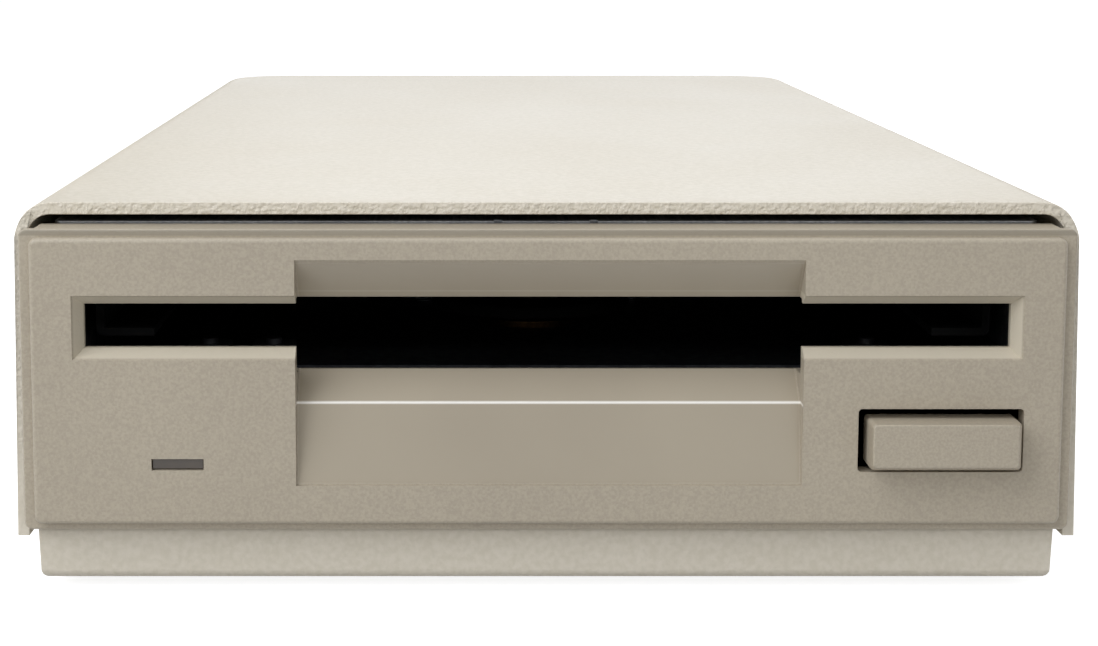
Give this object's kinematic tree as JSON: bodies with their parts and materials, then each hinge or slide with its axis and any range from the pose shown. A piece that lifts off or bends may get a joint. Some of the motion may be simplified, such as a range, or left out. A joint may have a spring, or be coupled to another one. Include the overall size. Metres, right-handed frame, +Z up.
{
  "type": "external floppy disk drive",
  "caption": "External drive for 3.5-inch disks: sheet-metal cased drive with bevelled slot, finger scoop, light, eject button, and its loading and head mechanism inside.",
  "frame": {"origin": "on the surface that the rubber feet stand on, under the middle of the whole object", "axes": "+X to the right seen from the front, +Y from the bezel to the back, +Z up"},
  "size_m": [0.1076, 0.2094, 0.039],
  "materials": {
    "cover_paint": "cream paint with a fine sprayed texture",
    "black_rubber": "matt moulded rubber",
    "screw_steel": "zinc-plated screw",
    "bezel_plastic": "taupe moulded plastic with a spark-eroded grain",
    "button_plastic": "taupe moulded plastic, a little smoother",
    "lens_plastic": "smoked light guide",
    "lamp_plastic": "green lamp body",
    "cast_metal": "die-cast",
    "plated_steel": "zinc-plated sheet",
    "spring_steel": "spring wire",
    "pin_steel": "ground steel",
    "magnet": "bonded ferrite",
    "bronze": "sintered bronze or brass",
    "board_green": "solder-resist coated glass-epoxy",
    "core_steel": "laminated steel",
    "coil_wire": "enamelled copper wire",
    "dark_plastic": "black moulded plastic",
    "header_plastic": "natural nylon",
    "ceramic_head": "polished ceramic slider",
    "chip_plastic": "epoxy package",
    "ribbon_grey": "flat grey cable",
    "lead_dark": "flat insulated lead"
  },
  "bodies": {
    "root": {"top_cover": "cover_paint", "base_tray": "cover_paint", "rear_panel": "cover_paint", "rubber_feet": "black_rubber", "cover_screws": "screw_steel", "cable_grommet": "black_rubber", "front_bezel": "bezel_plastic", "light_lens": "lens_plastic", "light_lamp": "lamp_plastic", "drive_chassis": "cast_metal", "side_frames": "cast_metal", "top_tie": "plated_steel", "chassis_screws": "screw_steel", "shield_lid": "plated_steel", "slide_springs": "spring_steel", "spindle_bearing": "bronze", "motor_board": "board_green", "stator_core": "core_steel", "stator_coils": "coil_wire", "guide_rods": "pin_steel", "screw_bearing": "bronze", "stepper_motor": "plated_steel", "stepper_bracket": "plated_steel", "zero_sensor": "dark_plastic", "disk_switches": "dark_plastic", "logic_board": "board_green", "board_screws": "screw_steel", "logic_chips": "chip_plastic", "data_header": "dark_plastic", "power_header": "header_plastic", "data_plug": "dark_plastic", "power_plug": "header_plastic", "ribbon_cable": "ribbon_grey", "power_lead": "lead_dark", "interface_board": "board_green", "board_standoffs": "bronze", "interface_headers": "dark_plastic", "interface_chips": "chip_plastic", "connector_shell": "plated_steel", "connector_core": "dark_plastic", "jack_screws": "screw_steel"},
    "eject_slide": {"slide_plate": "plated_steel", "eject_button": "button_plastic"},
    "holder": {"disk_holder": "plated_steel", "holder_pins": "pin_steel", "lever_stud": "pin_steel"},
    "lever": {"shutter_lever": "plated_steel"},
    "spindle": {"spindle_hub": "pin_steel", "drive_pin": "pin_steel", "spindle_shaft": "pin_steel", "rotor_cup": "plated_steel", "ring_magnet": "magnet"},
    "carriage": {"head_carriage": "dark_plastic", "lower_head": "ceramic_head", "arm_pin": "pin_steel"},
    "arm": {"head_arm": "dark_plastic", "upper_head": "ceramic_head"},
    "screw": {"lead_screw": "pin_steel"}
  },
  "joints": [
    {"name": "eject_travel", "type": "slide", "parent": "root", "child": "eject_slide", "axis": [0, -1, 0], "range_m": [0, 0.005], "deforming": ["slide_springs"]},
    {"name": "holder_drop", "type": "slide", "parent": "root", "child": "holder", "axis": [0, 0, -1], "range_m": [0, 0.0035]},
    {"name": "lever_swing", "type": "hinge", "parent": "holder", "child": "lever", "pos_m": [0.042, -0.03005, 0.03015], "axis": [0, 0, -1], "range_deg": [0, 60]},
    {"name": "spindle_turn", "type": "hinge", "parent": "root", "child": "spindle", "pos_m": [0, -0.05105, 0.019], "axis": [0, 0, 1], "continuous": true},
    {"name": "carriage_travel", "type": "slide", "parent": "root", "child": "carriage", "axis": [0, -1, 0], "range_m": [0, 0.01481]},
    {"name": "screw_turn", "type": "hinge", "parent": "root", "child": "screw", "pos_m": [0.025, 0.01795, 0.018], "axis": [0, 1, 0], "range_deg": [0, 1422.5]},
    {"name": "arm_lift", "type": "hinge", "parent": "carriage", "child": "arm", "pos_m": [0, 0.02045, 0.0266], "axis": [1, 0, 0], "range_deg": [0, 9.5]}
  ],
  "couplings": [
    {"joint": "holder_drop", "follows": "eject_travel", "ratio": 0.7},
    {"joint": "arm_lift", "follows": "eject_travel", "rad_per_m": 33.161},
    {"joint": "screw_turn", "follows": "carriage_travel", "rad_per_m": 1675.5}
  ]
}
